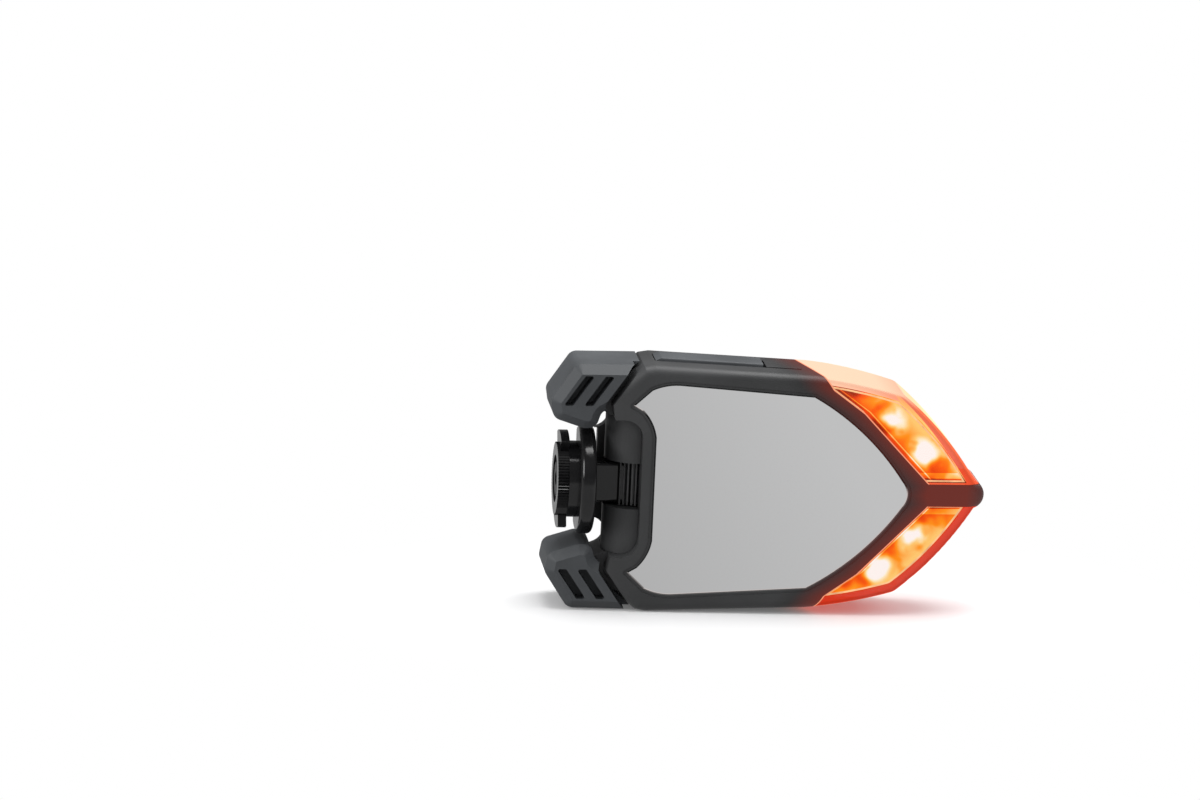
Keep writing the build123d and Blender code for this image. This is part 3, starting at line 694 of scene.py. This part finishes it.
def addChamberFrame(name, source, side, material, settings):
    bm = bmesh.new()
    bm.from_mesh(nodes[source].data)
    bm.transform(nodes[source].matrix_world)
    low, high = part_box(source)
    level = low.y if side < 0 else high.y
    bm.normal_update()

    def isPanel(face):
        near = abs(face.calc_center_median().y - level) <= settings["reach"]
        return near and face.normal.y * side >= settings["facing"]

    away = [face for face in bm.faces if not isPanel(face)]
    bmesh.ops.delete(bm, geom=away, context="FACES")
    bmesh.ops.remove_doubles(bm, verts=bm.verts, dist=settings["weldGap"])
    flat = math.radians(settings["flatAngle"])
    bmesh.ops.dissolve_limit(bm, angle_limit=flat, verts=bm.verts, edges=bm.edges)
    # the rim that the inset leaves is the frame, and the panel inside it goes
    inner = list(bm.faces)
    bmesh.ops.inset_region(
        bm, faces=inner, thickness=settings["barWidth"], use_boundary=True, use_even_offset=True,
    )
    bmesh.ops.delete(bm, geom=inner, context="FACES")
    grown = bmesh.ops.extrude_face_region(bm, geom=list(bm.faces))
    moved = [item for item in grown["geom"] if isinstance(item, bmesh.types.BMVert)]
    bmesh.ops.translate(bm, verts=moved, vec=(0, side * settings["barHeight"], 0))
    return finishPiece(name, bm, material, "head")


litFrameMaterial = litFrame("litFrame", frameGlow)
for ending, side in (("Front", -1), ("Rear", 1)):
    for place in ("Upper", "Lower"):
        source = "diffuser_" + place.lower()
        addChamberFrame("frame" + place + ending, source, side, litFrameMaterial, chamberFrame)
print("chamber frames added")


# ribbed sleeve on the barrel of the folding joint, with ridges along the hinge line: its round
# part keeps to the room that the barrel turns in, and it runs out over the root of the neck
sleeve = {
    "roundRadius": 5.2 * mm,
    "rootDepth": 4.3 * mm,
    "rootSlope": 1.02,
    "halfLength": 6.0 * mm,
    "wall": 1.2 * mm,
    "ribs": 6,
    "grooveDepth": 0.45 * mm,
    "grooveShare": 0.40,
    "flankShare": 0.09,
    "fromX": -4.9 * mm,
    "toX": 1.3 * mm,
}


def sleeveFront(settings, x):
    onRound = math.sqrt(max(settings["roundRadius"] ** 2 - x ** 2, 0.0))
    onRoot = min(settings["rootDepth"], -x * settings["rootSlope"])
    return -max(onRound, onRoot)


def addSleeve(settings):
    pinLow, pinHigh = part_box("hinge_pin")
    pin = (pinLow + pinHigh) / 2
    pitch = (settings["toX"] - settings["fromX"]) / settings["ribs"]
    groove = settings["grooveShare"]
    flank = settings["flankShare"]
    profile = []
    ridges = []
    for rib in range(settings["ribs"]):
        start = settings["fromX"] + rib * pitch
        # the floor of the groove from its start to its end, then the top of the ridge
        for share, onTop in ((0.0, 0), (groove, 0), (groove + flank, 1), (1.0 - flank, 1)):
            x = start + share * pitch
            depth = (1 - onTop) * settings["grooveDepth"]
            profile.append((x, sleeveFront(settings, x) + depth))
        ridges.append(pin.x + (profile[-1][0] + profile[-2][0]) / 2)
    wall = settings["wall"]
    profile.append((settings["toX"], sleeveFront(settings, settings["toX"]) + wall))
    profile.append((settings["fromX"] + wall, sleeveFront(settings, settings["fromX"]) + wall))
    bm = bmesh.new()
    bottom = pin.z - settings["halfLength"]
    corners = [bm.verts.new((pin.x + x, pin.y + y, bottom)) for x, y in profile]
    end = bm.faces.new(corners)
    grown = bmesh.ops.extrude_face_region(bm, geom=[end])
    moved = [item for item in grown["geom"] if isinstance(item, bmesh.types.BMVert)]
    bmesh.ops.translate(bm, verts=moved, vec=(0, 0, 2 * settings["halfLength"]))
    # the tops of the ridges, long faces in front of the pin, are painted paler than the grooves, as
    # lit faces: painted highlight
    near = pitch * flank
    for face in bm.faces:
        middle = face.calc_center_median()
        onRidge = any(abs(middle.x - x) < near for x in ridges)
        isLong = abs(middle.z - pin.z) < wall
        if onRidge and isLong and middle.y < pin.y - wall:
            face.material_index = 1
    piece = finishPiece("ribbedSleeve", bm, grooveMaterial, "mount")
    piece.data.materials.append(ridgeMaterial)


addSleeve(sleeve)
print("sleeve added")


# studio: each lamp's name, place, size and power
studio = {
    "floorSize": 6.0,
    "floorColour": (0.90, 0.90, 0.905),
    "floorRough": 0.5,
    "floorSpecular": 0.2,
    "floorBounce": 0.30,
    "whiteBand": (0.012, 0.075),
    "nearWhite": 0.10,
    "objectReach": 0.05,
    "glossyBand": (-0.06, 0.05),
    "glossyLevels": (0.47, 0.61),
    "worldDiffuse": 0.80,
    "worldGlossy": 0.16,
    "lamps": [
        ("keyLamp", (0.10, 0.05, 0.9), 0.8, 7.6),
        ("sideLamp", (-0.75, -0.30, 0.35), 0.4, 2.5),
        ("rimLamp", (0.7, 0.5, 0.8), 0.6, 3.0),
    ],
    "lampTarget": (0, 0, 0.03),
}


def floorShine(tree, shader, settings):
    # near the object the paper is lit and takes its shadow, and further away it is plain white to
    # the camera
    coords = objectCoords(tree)
    x = axisNode(tree, coords, "X")
    y = axisNode(tree, coords, "Y")
    outside = lessNode(tree, mathNode(tree, "ABSOLUTE", x), settings["objectReach"])
    away = slantNode(tree, mostNode(tree, outside, 0.0), y)
    white = rangeNode(tree, away, *settings["whiteBand"], settings["nearWhite"], 1.0)
    path = tree.nodes.new("ShaderNodeLightPath")
    glossyRay = path.outputs["Is Glossy Ray"]
    bounce = rangeNode(tree, path.outputs["Is Diffuse Ray"], 0.0, 1.0, 1.0, settings["floorBounce"])
    shade = tree.nodes.new("ShaderNodeVectorMath")
    shade.operation = "SCALE"
    shade.inputs[0].default_value = settings["floorColour"]
    tree.links.new(bounce, shade.inputs["Scale"])
    tree.links.new(shade.outputs["Vector"], shader.inputs["Base Color"])
    seen = timesNode(tree, white, path.outputs["Is Camera Ray"])
    share = mostNode(tree, seen, glossyRay)
    # what the glass shows of the floor: grey, a little paler towards the tip
    grey = rangeNode(tree, x, *settings["glossyBand"], *settings["glossyLevels"])
    paper = lessNode(tree, 1.0, glossyRay)
    return share, mostNode(tree, timesNode(tree, grey, glossyRay), paper)


def floorPlane(settings):
    bm = bmesh.new()
    bmesh.ops.create_grid(bm, x_segments=2, y_segments=2, size=settings["floorSize"] / 2)
    mesh = bpy.data.meshes.new("studioFloor")
    bm.to_mesh(mesh)
    bm.free()
    floor = bpy.data.objects.new("studioFloor", mesh)
    bpy.context.scene.collection.objects.link(floor)
    material, tree, shader = newMaterial("floorPaper")
    shader.inputs["Roughness"].default_value = settings["floorRough"]
    shader.inputs["Specular IOR Level"].default_value = settings["floorSpecular"]
    share, level = floorShine(tree, shader, settings)
    emission = tree.nodes.new("ShaderNodeEmission")
    tree.links.new(level, emission.inputs["Strength"])
    mix = tree.nodes.new("ShaderNodeMixShader")
    tree.links.new(share, mix.inputs["Fac"])
    tree.links.new(shader.outputs["BSDF"], mix.inputs[1])
    tree.links.new(emission.outputs["Emission"], mix.inputs[2])
    output = tree.nodes["Material Output"]
    tree.links.new(mix.outputs["Shader"], output.inputs["Surface"])
    mesh.materials.append(material)


def whiteWorld(settings):
    world = bpy.data.worlds.new("studioWorld")
    bpy.context.scene.world = world
    world.use_nodes = True
    tree = world.node_tree
    tree.nodes.clear()
    output = tree.nodes.new("ShaderNodeOutputWorld")
    background = tree.nodes.new("ShaderNodeBackground")
    path = tree.nodes.new("ShaderNodeLightPath")
    levels = settings["worldDiffuse"], settings["worldGlossy"]
    lighting = rangeNode(tree, path.outputs["Is Glossy Ray"], 0.0, 1.0, *levels)
    strength = mostNode(tree, lighting, path.outputs["Is Camera Ray"])
    tree.links.new(strength, background.inputs["Strength"])
    tree.links.new(background.outputs["Background"], output.inputs["Surface"])


def areaLamp(name, place, size, power, target):
    data = bpy.data.lights.new(name, "AREA")
    data.shape = "DISK"
    data.size = size
    data.energy = power
    lamp = bpy.data.objects.new(name, data)
    bpy.context.scene.collection.objects.link(lamp)
    lamp.location = place
    aim = Vector(target) - Vector(place)
    lamp.rotation_euler = aim.to_track_quat("-Z", "Y").to_euler()


floorPlane(studio)
whiteWorld(studio)
for lampName, lampPlace, lampSize, lampPower in studio["lamps"]:
    areaLamp(lampName, lampPlace, lampSize, lampPower, studio["lampTarget"])
print("studio set")


# camera: the framing of the photograph, 1200 by 800. The mirror lies on its tapered long side
# there, which the camera's roll stands for, as the model itself stands untilted
view = {
    "azimuth": -6.0,
    "elevation": 12.0,
    "roll": 2.5,
    "distance": 1.6,
    "pictureSize": (1200, 800),
    "millimetresPerPixel": 0.2692,
    "hornEndPixel": (544.2, 478.0),
    "hornOverhang": 0.3 * mm,
    "sensorWidth": 36.0,
    "clipStart": 0.01,
}


def heroCamera(settings):
    data = bpy.data.cameras.new("heroCamera")
    camera = bpy.data.objects.new("heroCamera", data)
    bpy.context.scene.collection.objects.link(camera)
    azimuth = math.radians(settings["azimuth"])
    elevation = math.radians(settings["elevation"])
    level = math.cos(elevation)
    away = Vector((math.sin(azimuth) * level, -math.cos(azimuth) * level, math.sin(elevation)))
    facing = (-away).to_track_quat("-Z", "Y").to_matrix().to_4x4()
    facing = facing @ Matrix.Rotation(math.radians(settings["roll"]), 4, "Z")
    across = facing.to_3x3() @ Vector((1, 0, 0))
    upward = facing.to_3x3() @ Vector((0, 1, 0))
    # the middle of the horn ends, from which the picture's middle is counted in pixels
    pixel = settings["millimetresPerPixel"] * mm
    wide, high = settings["pictureSize"]
    seenX, seenY = settings["hornEndPixel"]
    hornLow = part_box("horn_upper")[0]
    hornEnd = Vector((hornLow.x - settings["hornOverhang"], midDepth, midHeight))
    target = hornEnd + across * (wide / 2 - seenX) * pixel + upward * (seenY - high / 2) * pixel
    camera.location = target + away * settings["distance"]
    camera.rotation_euler = facing.to_euler()
    data.sensor_width = settings["sensorWidth"]
    data.lens = data.sensor_width * settings["distance"] / (wide * pixel)
    data.clip_start = settings["clipStart"]
    bpy.context.scene.camera = camera


heroCamera(view)
bpy.context.scene.view_settings.view_transform = "Standard"
print("camera set")
